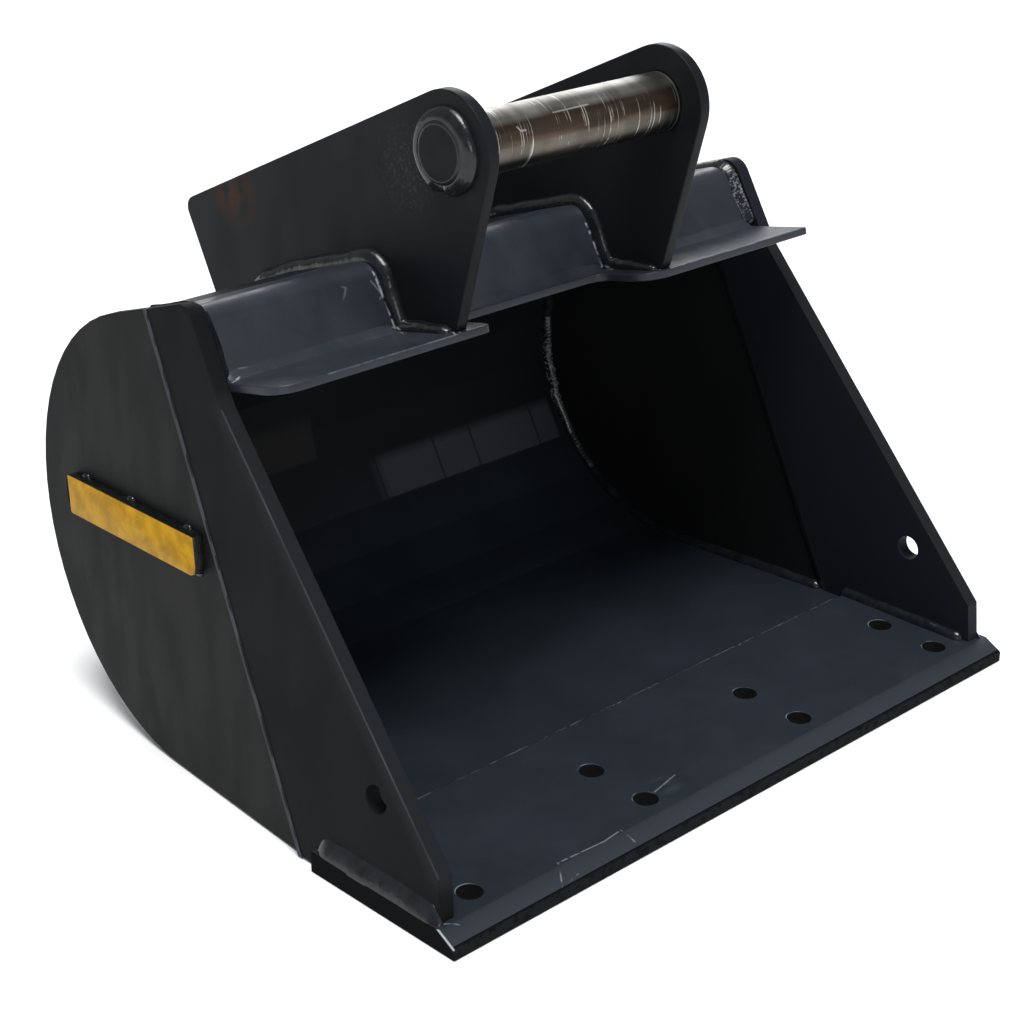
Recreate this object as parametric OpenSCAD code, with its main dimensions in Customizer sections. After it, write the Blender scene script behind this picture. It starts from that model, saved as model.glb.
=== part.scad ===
/* [Cutting edge] */
// Width of the cutting edge, side to side
lip_w = 600; // [560:5:700]
// Depth of the cutting edge, front to back
lip_l = 145; // [135:1:155]
// Thickness of the cutting edge
lip_t = 16; // [14:1:18]
// Depth of the bevel along the front
bevel_l = 15; // [8:1:22]
// Thickness left at the tip below the bevel
bevel_tip = 8; // [5:1:11]
// Diameter of the bolt holes for a bolt-on blade
bolt_hole_d = 18.5; // [13:0.5:22]
// Distance from the tip to the front row of bolt holes
bolt_front_y = 34; // [28:1:40]
// Distance between the two rows of bolt holes
bolt_row_gap = 54; // [40:1:65]
// Distance of the outer columns of bolt holes from the ends of the edge
bolt_end = 45; // [30:1:70]

/* [Side plates] */
// Width of the cutting edge left bare outside each cutter
edge_strip = 5.5; // [4:0.5:9]
// Inward lean of each side, in degrees
side_lean = 2.14; // [1:0.02:3]
// Inward turn of the rear side sheet behind the joint, in degrees
rear_turn = 4.6; // [2:0.1:6]
// Thickness of the side cutter
cutter_t = 12; // [10:0.5:14]
// Thickness of the rear side sheet
sheet_t = 8; // [6:0.5:9]
// Step from the cutter down to the rear side sheet on the outside
sheet_step = 2; // [1:0.5:3]
// Width of the butt joint between cutter and sheet
joint_gap = 4; // [2:0.5:6]
// Diameter of the hole in each side cutter
side_hole_d = 20; // [12:1:26]
// Distance of the side hole from the tip
side_hole_y = 84; // [78:1:92]
// Height of the side hole
side_hole_z = 80; // [74:1:84]

/* [Side profile] */
// Distance from the tip to the foot of the side cutter
foot_y = 19.5; // [17:0.5:22]
// Distance from the tip to the lower front corner
nose_y = 22; // [20:0.5:28]
// Height of the lower front corner
nose_z = 48; // [40:1:56]
// Distance of the kink in the front edge ahead of the middle of the heel
kink_ahead = 82; // [76:1:88]
// Length of the front edge above the kink
upper_l = 75.1; // [70:0.1:80]
// Lean of the front edge above the kink, in degrees from upright
upper_lean = 29; // [26:0.5:32]
// Radius of the upper front corner
corner_r = 15; // [8:1:20]
// Slope of the crown towards the back, in degrees
crown_slope = 18; // [15:1:21]
// Radius of the heel and back
heel_r = 173; // [170:0.5:176]
// Distance from the tip to the rearmost point of the side sheets
back_y = 497; // [490:1:504]
// Height of the lower edge of the side sheets above the ground
sheet_rise = 1; // [0.5:0.5:3]
// Distance of the joint line's foot behind the cutting edge
joint_back_l = 22; // [16:1:27]
// Height of the point that the joint line starts from
joint_z = 8.5; // [6:0.5:11]
// Distance of the joint line behind the upper front corner, along the crown
joint_setback = 50.5; // [46:0.5:58]

/* [Shell] */
// Thickness of the wrapper sheet
wrap_t = 6; // [5:0.5:7]
// Overhang of the side sheets outside the wrapper
overhang = 4; // [2:0.5:5]
// Number of press brake bends round the heel
bends = 12; // [10:1:16]
// Gap between the cutting edge and the wrapper, filled by the seam weld
floor_gap = 3; // [2:0.5:5]
// Share of the crown that is wrapper; the rest, up to the front, is beam
crown_share = 0.49; // [0.42:0.01:0.56]

/* [Top beam] */
// Thickness of the beam plate
beam_t = 8; // [6:0.5:9]
// Outer bend radius of the beam plate
beam_r = 16; // [12:0.5:20]
// Setback of the beam face behind the front edge of the cutters
face_setback = 7; // [5:0.5:9]
// Length of the beam face, from its sharp upper corner down to the flange
face_l = 53.7; // [50:0.1:57]
// Thickness of the torque plate that closes the beam
torque_t = 6; // [4:0.5:8]
// Bend of the wrapper that the torque plate runs to, as an angle above the heel centre
torque_angle = 45; // [40:1:50]

/* [Flange] */
// Length of the flange in front of the beam face
flange_l = 62; // [58:1:70]
// Thickness of the flange
flange_t = 6; // [4:0.5:8]
// Upward tilt of the flange towards the front, in degrees
flange_tilt = 11; // [8:0.5:14]
// Gap between the right end of the flange and the cutter
flange_gap = 4.5; // [3:0.5:7]
// Length of the flange left in the recess between the ears
recess_strip = 9; // [8:0.5:14]
// Length of full flange left inside each ear, up to the recess
recess_end = 19; // [14:1:24]
// Radius of the outer front corner on the left
flange_corner_r = 20; // [12:1:28]
// Radius of the wing corner beside the right ear
wing_r = 22; // [14:1:26]
// Radius of the wing corner beside the left ear
wing_tip_r = 5; // [3:0.5:8]
// Radius at the root of the recess
recess_r = 15; // [10:1:18]

/* [Ears and pin] */
// Distance between the inner faces of the ears
ear_gap = 200; // [190:1:206]
// Thickness of each ear
ear_t = 10; // [8:0.5:12]
// Distance of the coupler pin ahead of the middle of the heel
pin_ahead = 115; // [110:1:120]
// Height of the coupler pin above the middle of the heel
pin_rise = 281.5; // [274:0.5:288]
// Diameter of the coupler pin
pin_d = 45; // [38:1:50]
// Length of pin that stands out of each ear
pin_proud = 8; // [6:0.5:12]
// Radius of the ear round the pin
ear_nose_r = 42; // [40:0.5:46]
// Reach of the ears' rear top corner behind the heel
ear_reach = 20.5; // [14:0.5:26]
// Height of the ears' rear top corner above the middle of the heel
ear_rear_rise = 186; // [180:1:191]
// Radius of the rear top corner
ear_corner_r = 10; // [4:1:14]
// Lean of the rear edge of the ears, in degrees from upright
ear_rear_lean = 27; // [24:0.1:29]
// Distance of the ear's front foot from the beam face
ear_foot_l = 57; // [54:1:57]

/* [Rear lock bar] */
// Thickness of the lock bar
lock_t = 25; // [20:1:28]
// Setback of the lock bar from the rear edge of the ears
lock_setback = 12; // [8:1:14]
// Drop of the lock bar below the top edge of the ears
lock_drop = 8; // [6:0.5:12]
// Diameter of the two locking bores
lock_bore_d = 32; // [26:1:36]
// Distance between the two locking bores
lock_bore_gap = 100; // [80:1:120]
// Distance of the bores below the top of the lock bar
lock_bore_drop = 38; // [32:1:42]

/* [Wear strips] */
// Width of each wear strip
strip_w = 46; // [30:1:60]
// Thickness of each wear strip
strip_t = 8; // [5:0.5:8]
// Distance between neighbouring wear strips
strip_gap = 132; // [110:1:140]
// First bend that the strips cover
strip_first_bend = 1; // [1:1:3]
// Last bend that the strips cover
strip_last_bend = 7; // [5:1:8]

/* [Welds] */
// Leg of the ear welds
ear_weld = 8; // [5:0.5:10]
// Leg of the ring welds round the pin
pin_weld = 9; // [6:0.5:9]
// Leg of the inner welds of the shell
shell_weld = 6; // [4:0.5:8]
// Leg of the outer welds under the overhang
edge_weld = 4; // [2:0.5:4]
// Height of the welds that join the cutters to the cutting edge outside
lip_weld = 9; // [6:0.5:12]
// Leg of the weld between beam and flange
flange_weld = 6; // [4:0.5:7]

/* [Hidden] */
$fn = 64;

// Colours of the paint and of the bare pin
paint = [0.13, 0.14, 0.16];
paint_light = [0.20, 0.21, 0.24];
bead_paint = [0.27, 0.28, 0.31];
bare_steel = [0.62, 0.60, 0.56];

// Overrun of every cut, and a reach past the whole bucket
over = lip_t;
reach = lip_w + back_y;

// Flats on a rounded corner, on the heel of the side sheets and on the nose of an ear
corner_steps = 8;
heel_steps = 27;
nose_steps = 24;

// Small vector helpers in the side view, where a point is [distance from the tip, height]
function unit(v) = v / norm(v);
function cross_of(a, b) = a[0] * b[1] - a[1] * b[0];
function meet(p, d, q, e) = p + d * cross_of(q - p, e) / cross_of(d, e);
function half_angle(a, b) = acos(a * b) / 2;
function tangent_length(a, b, r) = r / tan(half_angle(a, b));
function round_centre(p, a, b, r) = p + unit(a + b) * r / sin(half_angle(a, b));
function angle_of(v) = atan2(v[1], v[0]);
function short_turn(a) = a - 360 * round(a / 360);
function touch_angle(c, r, p, side) = angle_of(p - c) + side * acos(r / norm(p - c));
function arc(c, r, from, to, steps) =
    [for (k = [0:steps]) let (a = from + (to - from) * k / steps) c + r * [cos(a), sin(a)]];
function corner_arc(p, back, ahead, r) =
    let (c = round_centre(p, back, ahead, r), l = tangent_length(back, ahead, r),
        from = angle_of(p + back * l - c), turn = short_turn(angle_of(p + ahead * l - c) - from))
    arc(c, r, from, from + turn, corner_steps);
// Closed outline with rounded corners, outer or inner
function rounded(points, radii) = let (n = len(points))
    [for (i = [0:n - 1]) let (p = points[i])
        each radii[i] > 0
            ? corner_arc(p, unit(points[(i + n - 1) % n] - p), unit(points[(i + 1) % n] - p), radii[i])
            : [p]];

// Side profile: heel circle, crown line, upper front edge and joint line
heel_c = [back_y - heel_r, sheet_rise + heel_r];
crown_dir = [cos(crown_slope), -sin(crown_slope)];
crown_up = [sin(crown_slope), cos(crown_slope)];
upper_dir = [sin(upper_lean), cos(upper_lean)];
upper_in = [cos(upper_lean), -sin(upper_lean)];
crown_end = heel_c + heel_r * crown_up;
top_y = heel_c[0] - kink_ahead + upper_l * upper_dir[0];
top_corner = crown_end + crown_dir * (top_y - crown_end[0]) / crown_dir[0];
kink = top_corner - upper_dir * upper_l;
joint_foot = [lip_l + joint_back_l, joint_z];
joint_dir = unit(top_corner + crown_dir * joint_setback - joint_foot);
joint_back = [joint_dir[1], -joint_dir[0]];

// Wrapper: outer and inner radius at the bends
wrap_r = heel_r - overhang;
wrap_in_r = wrap_r - wrap_t;
bend_step = (180 - crown_slope) / bends;
floor_under_z = heel_c[1] - wrap_r;
floor_top_z = floor_under_z + wrap_t;
function bend_point(r, k) = heel_c + r * [cos(k * bend_step - 90), sin(k * bend_step - 90)];
crown_foot = bend_point(wrap_r, bends);

// Beam: face line behind the front edge of the cutters, crown in line with the wrapper
beam_corner = meet(kink + upper_in * face_setback, upper_dir, crown_foot, crown_dir);
wrap_seam = crown_foot + (beam_corner - crown_foot) * crown_share;
wrap_seam_in = wrap_seam - crown_up * wrap_t;
root = beam_corner - upper_dir * face_l;
flange_dir = [-cos(flange_tilt), sin(flange_tilt)];
flange_up = [sin(flange_tilt), cos(flange_tilt)];
beam_corner_in = meet(root + upper_in * beam_t, upper_dir, wrap_seam - crown_up * beam_t, crown_dir);
beam_seam_in = wrap_seam - crown_up * beam_t;
root_in = meet(root + upper_in * beam_t, upper_dir, root, flange_dir);
beam_bend_c = round_centre(beam_corner, -upper_dir, crown_dir, beam_r);
flange_back = norm(root_in - root);

// Ears and rear lock bar
pin_c = heel_c + [-pin_ahead, pin_rise];
ear_rear = [back_y + ear_reach, heel_c[1] + ear_rear_rise];
ear_foot = root + flange_dir * ear_foot_l;
nose_top_angle = touch_angle(pin_c, ear_nose_r, ear_rear, 1);
nose_front_angle = touch_angle(pin_c, ear_nose_r, ear_foot, -1) + 360;
ear_top_dir = unit(pin_c + ear_nose_r * [cos(nose_top_angle), sin(nose_top_angle)] - ear_rear);
ear_rear_dir = [-sin(ear_rear_lean), -cos(ear_rear_lean)];
ear_corner_c = round_centre(ear_rear, ear_top_dir, ear_rear_dir, ear_corner_r);
lock_back = [cos(ear_rear_lean), -sin(ear_rear_lean)];
lock_top = ear_rear + ear_rear_dir * lock_drop - lock_back * lock_setback;

// Depth of the whole bucket, from the tip to the ears' rear corners; the origin is at its middle
depth = ear_corner_c[0] + ear_corner_r;

// Planes of the leaning cutter and of the turned rear sheet, as x for a place in the side view
half_w = lip_w / 2 - edge_strip;
turned = [cos(rear_turn), sin(rear_turn) * joint_dir[1], -sin(rear_turn) * joint_dir[0]];
rear_n = [turned[0] * cos(side_lean) - turned[2] * sin(side_lean), turned[1],
    turned[0] * sin(side_lean) + turned[2] * cos(side_lean)];
rear_at = [half_w - joint_z * sin(side_lean), joint_foot[0], joint_z * cos(side_lean)];
function cutter_x(p, inset) = half_w - (inset + p[1] * sin(side_lean)) / cos(side_lean);
function sheet_x(p, inset) =
    rear_at[0] - (inset + rear_n[1] * (p[0] - rear_at[1]) + rear_n[2] * (p[1] - rear_at[2])) / rear_n[0];
sheet_in = sheet_step + sheet_t;

// Side view outline, extruded across the bucket about the middle plane
module across(width) {
    rotate([90, 0, 90]) linear_extrude(width, center = true) children();
}

// Side view outline, extruded between two places across the bucket
module between_x(x_from, x_to) {
    translate([x_from, 0, 0]) rotate([90, 0, 90]) linear_extrude(x_to - x_from) children();
}

// Everything in the bucket's frame, with the origin under the middle of the bucket
module placed() {
    translate([0, -depth / 2, 0]) children();
}

// The left side is the mirror image of the right side
module on_left() {
    mirror([1, 0, 0]) children();
}

// Wall parallel to the right side cutter, from one inset below its outer face to another
module cutter_wall(inset_from, inset_to) {
    translate([half_w, 0, 0]) rotate([0, -side_lean, 0])
        translate([-inset_to, -reach, -reach]) cube([inset_to - inset_from, 2 * reach, 2 * reach]);
}

// Wall parallel to the right rear side sheet, turned inwards about the joint line
module sheet_wall(inset_from, inset_to) {
    translate([half_w, 0, 0]) rotate([0, -side_lean, 0])
        translate([0, joint_foot[0], joint_z]) rotate(rear_turn, [0, joint_dir[0], joint_dir[1]])
            translate([-inset_to, -reach, -reach]) cube([inset_to - inset_from, 2 * reach, 2 * reach]);
}

// Half plane of the side view in front of or behind the joint, a distance behind its middle line
module front_half(distance) {
    polygon([joint_foot + joint_back * distance - joint_dir * reach,
        joint_foot + joint_back * distance + joint_dir * reach,
        joint_foot - joint_back * reach + joint_dir * reach,
        joint_foot - joint_back * reach - joint_dir * reach]);
}

module rear_half(distance) {
    polygon([joint_foot + joint_back * distance - joint_dir * reach,
        joint_foot + joint_back * distance + joint_dir * reach,
        joint_foot + joint_back * reach + joint_dir * reach,
        joint_foot + joint_back * reach - joint_dir * reach]);
}

// Outline of a whole side, cutter and rear sheet together
module side_outline() {
    polygon(concat(
        [[foot_y, lip_t], [nose_y, nose_z], kink],
        corner_arc(top_corner, -upper_dir, crown_dir, corner_r),
        arc(heel_c, heel_r, 90 - crown_slope, -90, heel_steps),
        [[lip_l, sheet_rise], [lip_l, lip_t]]));
}

// What lies beyond the inner faces of the right side: cut off the ends of the plates between the sides
module right_side_space() {
    intersection() {
        cutter_wall(-reach, cutter_t);
        across(2 * reach) front_half(joint_gap / 2);
    }
    intersection() {
        sheet_wall(-reach, sheet_in);
        across(2 * reach) rear_half(0);
    }
}

module trimmed_to_sides() {
    difference() {
        children();
        right_side_space();
        on_left() right_side_space();
    }
}

// Solid of the shell and the beam as seen from outside, for what stands on it
module shell_outline() {
    polygon(concat(
        [root], corner_arc(beam_corner, -upper_dir, crown_dir, beam_r),
        [for (k = [bends:-1:0]) bend_point(wrap_r, k)], [heel_c]));
}

// Weld bead on three rails: the corner, the toe on one plate and the toe on the other
module bead(corners, toes_a, toes_b) {
    n = len(corners);
    polyhedron(points = concat(corners, toes_a, toes_b),
        faces = concat(
            [[0, n, 2 * n], [n - 1, 3 * n - 1, 2 * n - 1]],
            [for (i = [0:n - 2]) each [[i, i + 1, n + i + 1], [i, n + i + 1, n + i]]],
            [for (i = [0:n - 2]) each [[n + i, n + i + 1, 2 * n + i + 1], [n + i, 2 * n + i + 1, 2 * n + i]]],
            [for (i = [0:n - 2]) each [[2 * n + i, 2 * n + i + 1, i + 1], [2 * n + i, i + 1, i]]]),
        convexity = 4);
}

module cutting_edge() {
    color(paint) placed() difference() {
        across(lip_w) polygon([[0, 0], [lip_l, 0], [lip_l, lip_t], [bevel_l, lip_t], [0, bevel_tip]]);
        for (column = [-1.5:1:1.5], row = [0, 1])
            translate([column * (lip_w - 2 * bolt_end) / 3, bolt_front_y + row * bolt_row_gap, -over])
                cylinder(d = bolt_hole_d, h = lip_t + 2 * over);
    }
}

module wrapper() {
    color(paint) placed() trimmed_to_sides() across(lip_w) polygon(concat(
        [[lip_l + floor_gap, floor_under_z]],
        [for (k = [0:bends]) bend_point(wrap_r, k)],
        [wrap_seam, wrap_seam_in],
        [for (k = [bends:-1:0]) bend_point(wrap_in_r, k)],
        [[lip_l + floor_gap, floor_top_z]]));
}

module side_cutter() {
    intersection() {
        cutter_wall(0, cutter_t);
        across(2 * reach) intersection() {
            side_outline();
            front_half(-joint_gap / 2);
        }
    }
}

module drilled_cutter() {
    difference() {
        side_cutter();
        translate([half_w, 0, 0]) rotate([0, -side_lean, 0]) translate([0, side_hole_y, side_hole_z])
            rotate([0, 90, 0]) cylinder(d = side_hole_d, h = 2 * (cutter_t + over), center = true);
    }
}

module side_sheet() {
    intersection() {
        sheet_wall(sheet_step, sheet_in);
        across(2 * reach) intersection() {
            side_outline();
            rear_half(joint_gap / 2);
        }
    }
}

module right_side_cutter() { color(paint) placed() drilled_cutter(); }
module left_side_cutter() { color(paint) placed() on_left() drilled_cutter(); }
module right_side_sheet() { color(paint) placed() side_sheet(); }
module left_side_sheet() { color(paint) placed() on_left() side_sheet(); }

module top_beam() {
    color(paint_light) placed() trimmed_to_sides() across(lip_w) polygon(rounded(
        [wrap_seam, beam_corner, root, root_in, beam_corner_in, beam_seam_in],
        [0, beam_r, 0, 0, beam_r - beam_t, 0]));
}

module torque_plate() {
    start = root - flange_dir * flange_back;
    target = heel_c + wrap_in_r * [cos(torque_angle), sin(torque_angle)];
    run = unit(target - start);
    color(paint) placed() trimmed_to_sides() across(lip_w) intersection() {
        polygon([start, start + run * reach,
            start + run * reach - flange_up * torque_t, start - flange_up * torque_t]);
        polygon(concat([heel_c, start - flange_up * torque_t, start],
            [for (k = [bends:-1:0]) bend_point(wrap_in_r, k)]));
    }
}

// Plan of the flange: one rounded outer corner on the left, a recess between the ears
module flange_plan() {
    left = -cutter_x(root, cutter_t);
    right = cutter_x(root + flange_dir * flange_l, cutter_t + flange_gap);
    recess = ear_gap / 2 - recess_end;
    polygon(rounded(
        [[left, flange_back], [left, -flange_l], [-recess, -flange_l],
            [-recess, -recess_strip], [recess, -recess_strip],
            [recess, -flange_l], [right, -flange_l], [right, flange_back]],
        [0, flange_corner_r, wing_tip_r, recess_r, recess_r, wing_r, 0, 0]));
}

module top_flange() {
    color(paint_light) placed() difference() {
        translate([0, root[0], root[1]]) rotate([-flange_tilt, 0, 0]) translate([0, 0, -flange_t])
            linear_extrude(flange_t) flange_plan();
        cutter_wall(-reach, cutter_t);
        on_left() cutter_wall(-reach, cutter_t);
    }
}

module ear_outline() {
    difference() {
        polygon(concat(
            arc(pin_c, ear_nose_r, nose_front_angle, nose_top_angle, nose_steps),
            corner_arc(ear_rear, ear_top_dir, ear_rear_dir, ear_corner_r),
            [ear_rear + ear_rear_dir * wrap_r, bend_point(wrap_in_r, bends), root, ear_foot]));
        shell_outline();
        translate(pin_c) circle(d = pin_d);
    }
}

module right_ear() { color(paint) placed() between_x(ear_gap / 2, ear_gap / 2 + ear_t) ear_outline(); }
module left_ear() { color(paint) placed() between_x(-ear_gap / 2 - ear_t, -ear_gap / 2) ear_outline(); }

module coupler_pin() {
    color(bare_steel) placed() across(ear_gap + 2 * (ear_t + pin_proud)) translate(pin_c) circle(d = pin_d);
}

module rear_lock_bar() {
    color(paint) placed() difference() {
        across(ear_gap) difference() {
            polygon([lock_top, lock_top - lock_back * lock_t,
                lock_top - lock_back * lock_t + ear_rear_dir * heel_r, lock_top + ear_rear_dir * heel_r]);
            shell_outline();
        }
        for (side = [-1, 1])
            translate([side * lock_bore_gap / 2, 0, 0]) between_bore();
    }
}

// Axis of a locking bore, square through the lock bar
module between_bore() {
    centre = lock_top + ear_rear_dir * lock_bore_drop - lock_back * lock_t / 2;
    translate([0, centre[0], centre[1]]) rotate([90 - ear_rear_lean, 0, 0])
        cylinder(d = lock_bore_d, h = lock_t + 2 * over, center = true);
}

module wear_strip(place) {
    color(paint) placed() translate([place * strip_gap, 0, 0]) across(strip_w) polygon(concat(
        [for (k = [strip_first_bend:strip_last_bend]) bend_point(wrap_r + strip_t, k)],
        [for (k = [strip_last_bend:-1:strip_first_bend]) bend_point(wrap_r, k)]));
}

module left_wear_strip() { wear_strip(-1); }
module middle_wear_strip() { wear_strip(0); }
module right_wear_strip() { wear_strip(1); }

module floor_seam_weld() {
    color(bead_paint) placed() trimmed_to_sides() across(lip_w) polygon([
        [lip_l, floor_under_z], [lip_l + floor_gap, floor_under_z], [lip_l + floor_gap, floor_top_z],
        [lip_l + 2 * floor_gap, floor_top_z], [lip_l, lip_t - floor_gap / 4]]);
}

// Butt weld in the joint between cutter and rear sheet, a little proud outside
module joint_weld() {
    intersection() {
        cutter_wall(-joint_gap / 8, cutter_t);
        across(2 * reach) intersection() {
            side_outline();
            front_half(joint_gap / 2);
            rear_half(-joint_gap / 2);
        }
    }
}

module right_joint_weld() { color(bead_paint) placed() joint_weld(); }
module left_joint_weld() { color(bead_paint) placed() on_left() joint_weld(); }

// Outside weld on the strip of cutting edge beside the cutter
module lip_outer_bead() {
    ends = [nose_y, lip_l - over / 8];
    edge_x = lip_w / 2 - edge_strip / 10;
    bead([for (y = ends) [cutter_x([y, lip_t], 0), y, lip_t]],
        [for (y = ends) [edge_x, y, lip_t]],
        [for (y = ends) [cutter_x([y, lip_t + lip_weld], 0), y, lip_t + lip_weld]]);
}

module lip_inner_bead() {
    ends = [nose_y + cutter_t / 4, lip_l];
    bead([for (y = ends) [cutter_x([y, lip_t], cutter_t), y, lip_t]],
        [for (y = ends) [cutter_x([y, lip_t + shell_weld], cutter_t), y, lip_t + shell_weld]],
        [for (y = ends) [cutter_x([y, lip_t], cutter_t) - shell_weld, y, lip_t]]);
}

module right_lip_outer_weld() { color(bead_paint) placed() lip_outer_bead(); }
module left_lip_outer_weld() { color(bead_paint) placed() on_left() lip_outer_bead(); }
module right_lip_inner_weld() { color(bead_paint) placed() lip_inner_bead(); }
module left_lip_inner_weld() { color(bead_paint) placed() on_left() lip_inner_bead(); }

// Inside fillet between the wrapper and the rear sheet, from the joint round to the back
last_inner_bend = floor((torque_angle + 90) / bend_step) - 1;
module shell_inner_bead() {
    start = joint_foot + joint_dir * (floor_top_z - joint_z) / joint_dir[1] + [joint_gap, 0];
    path = concat([[start[0], floor_top_z]], [for (k = [0:last_inner_bend]) bend_point(wrap_in_r, k)]);
    inner = concat([[start[0], floor_top_z + shell_weld]],
        [for (k = [0:last_inner_bend]) bend_point(wrap_in_r - shell_weld, k)]);
    bead([for (p = path) [sheet_x(p, sheet_in), p[0], p[1]]],
        [for (p = inner) [sheet_x(p, sheet_in), p[0], p[1]]],
        [for (p = path) [sheet_x(p, sheet_in) - shell_weld, p[0], p[1]]]);
}

module right_shell_inner_weld() { color(bead_paint) placed() shell_inner_bead(); }
module left_shell_inner_weld() { color(bead_paint) placed() on_left() shell_inner_bead(); }

// Outside fillet under the overhang of the rear sheet
module shell_outer_bead() {
    start = joint_foot + joint_dir * (floor_under_z - joint_z) / joint_dir[1] + [joint_gap, 0];
    path = concat([[start[0], floor_under_z]], [for (k = [0:bends]) bend_point(wrap_r, k)]);
    outer = concat([[start[0], floor_under_z - edge_weld]],
        [for (k = [0:bends]) bend_point(wrap_r + edge_weld, k)]);
    bead([for (p = path) [sheet_x(p, sheet_in), p[0], p[1]]],
        [for (p = path) [sheet_x(p, sheet_in) - edge_weld, p[0], p[1]]],
        [for (p = outer) [sheet_x(p, sheet_in), p[0], p[1]]]);
}

module right_shell_outer_weld() { color(bead_paint) placed() shell_outer_bead(); }
module left_shell_outer_weld() { color(bead_paint) placed() on_left() shell_outer_bead(); }

// Path over the beam in the side view: crown, bend and face, at a distance outside its surface
bend_from = 90 - crown_slope;
bend_to = 180 - upper_lean;
bend_steps = 6;
function bend_path(away) =
    [for (k = [0:bend_steps])
        let (a = bend_from + (bend_to - bend_from) * k / bend_steps)
        beam_bend_c + (beam_r + away) * [cos(a), sin(a)]];
function face_foot(away) = meet(root - upper_in * away, upper_dir, root + flange_up * away, flange_dir);

module beam_end_bead() {
    crown_start = wrap_seam + crown_dir * beam_t;
    path = concat([crown_start], bend_path(0), [root]);
    outer = concat([crown_start + crown_up * edge_weld], bend_path(edge_weld),
        [root - upper_in * edge_weld]);
    bead([for (p = path) [cutter_x(p, cutter_t), p[0], p[1]]],
        [for (p = path) [cutter_x(p, cutter_t) - edge_weld, p[0], p[1]]],
        [for (p = outer) [cutter_x(p, cutter_t), p[0], p[1]]]);
}

module right_beam_weld() { color(bead_paint) placed() beam_end_bead(); }
module left_beam_weld() { color(bead_paint) placed() on_left() beam_end_bead(); }

// Fillet between beam face and flange, in three runs beside and between the ears
module flange_root_bead(x_from, x_to) {
    up = root + upper_dir * flange_weld;
    out = root + flange_dir * flange_weld;
    between_x(x_from, x_to) polygon([root, up, out]);
}

module flange_root_welds() {
    end_x = cutter_x(root + upper_dir * flange_weld, cutter_t) - edge_weld;
    color(bead_paint) placed() {
        flange_root_bead(-end_x, -ear_gap / 2 - ear_t - ear_weld);
        flange_root_bead(-ear_gap / 2 + ear_weld, ear_gap / 2 - ear_weld);
        flange_root_bead(ear_gap / 2 + ear_t + ear_weld, end_x);
    }
}

// Fillet round the foot of an ear, from the back over the crown and down to the flange
module ear_bead(first_bend) {
    foot = root + flange_dir * (ear_foot_l - ear_weld / 2);
    path = concat([for (k = [first_bend:bends]) bend_point(wrap_r, k)], bend_path(0), [root, foot]);
    outer = concat([for (k = [first_bend:bends]) bend_point(wrap_r + ear_weld, k)], bend_path(ear_weld),
        [face_foot(ear_weld), foot + flange_up * ear_weld]);
    bead([for (p = path) [0, p[0], p[1]]],
        [for (p = outer) [0, p[0], p[1]]],
        [for (p = path) [ear_weld, p[0], p[1]]]);
}

outer_bead_bend = bends - 2;
inner_bead_bend = bends - 1;
module right_ear_outer_weld() {
    color(bead_paint) placed() translate([ear_gap / 2 + ear_t, 0, 0]) ear_bead(outer_bead_bend);
}
module left_ear_outer_weld() {
    color(bead_paint) placed() on_left() translate([ear_gap / 2 + ear_t, 0, 0]) ear_bead(outer_bead_bend);
}
module left_ear_inner_weld() {
    color(bead_paint) placed() translate([-ear_gap / 2, 0, 0]) ear_bead(inner_bead_bend);
}
module right_ear_inner_weld() {
    color(bead_paint) placed() on_left() translate([-ear_gap / 2, 0, 0]) ear_bead(inner_bead_bend);
}

// Ring weld round the end of the pin
module pin_ring() {
    translate([ear_gap / 2 + ear_t, pin_c[0], pin_c[1]]) rotate([0, 90, 0]) rotate_extrude()
        polygon([[pin_d / 2, 0], [pin_d / 2 + pin_weld, 0], [pin_d / 2, pin_proud - pin_weld / 8]]);
}

module right_pin_weld() { color(bead_paint) placed() pin_ring(); }
module left_pin_weld() { color(bead_paint) placed() on_left() pin_ring(); }

// Upright fillets that hold the lock bar between the ears
module lock_bar_welds() {
    front = lock_top - lock_back * lock_t;
    leg = shell_weld;
    ends = [front + ear_rear_dir * leg, front + ear_rear_dir * (lock_bore_drop + lock_bore_d / 2)];
    color(bead_paint) placed() for (side = [0, 1]) mirror([side, 0, 0])
        bead([for (p = ends) [ear_gap / 2, p[0], p[1]]],
            [for (p = ends) [ear_gap / 2 - leg, p[0], p[1]]],
            [for (p = ends) [ear_gap / 2, (p - lock_back * leg)[0], (p - lock_back * leg)[1]]]);
}

cutting_edge();
wrapper();
left_side_sheet();
right_side_sheet();
left_side_cutter();
right_side_cutter();
top_beam();
top_flange();
torque_plate();
left_ear();
right_ear();
coupler_pin();
rear_lock_bar();
left_wear_strip();
middle_wear_strip();
right_wear_strip();
floor_seam_weld();
left_joint_weld();
right_joint_weld();
left_lip_outer_weld();
right_lip_outer_weld();
left_lip_inner_weld();
right_lip_inner_weld();
left_shell_inner_weld();
right_shell_inner_weld();
left_shell_outer_weld();
right_shell_outer_weld();
left_beam_weld();
right_beam_weld();
flange_root_welds();
left_ear_outer_weld();
left_ear_inner_weld();
right_ear_outer_weld();
right_ear_inner_weld();
left_pin_weld();
right_pin_weld();
lock_bar_welds();
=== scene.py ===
# %% [markdown]
# # An excavator digging bucket, dressed
# The bucket is a weldment of steel plates: a bent shell, two leaning sides, a flat cutting edge, a boxed beam across
# the top, and two ears that carry the coupler pin. The plates come from the CAD model as they are. This notebook adds
# what a welder and a painter add: the beads in every corner, softened plate edges, satin black paint with its marks,
# and a small yellow plate on the side.

import math

import bpy
import numpy as np
from mathutils import Matrix, Vector, noise


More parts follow.
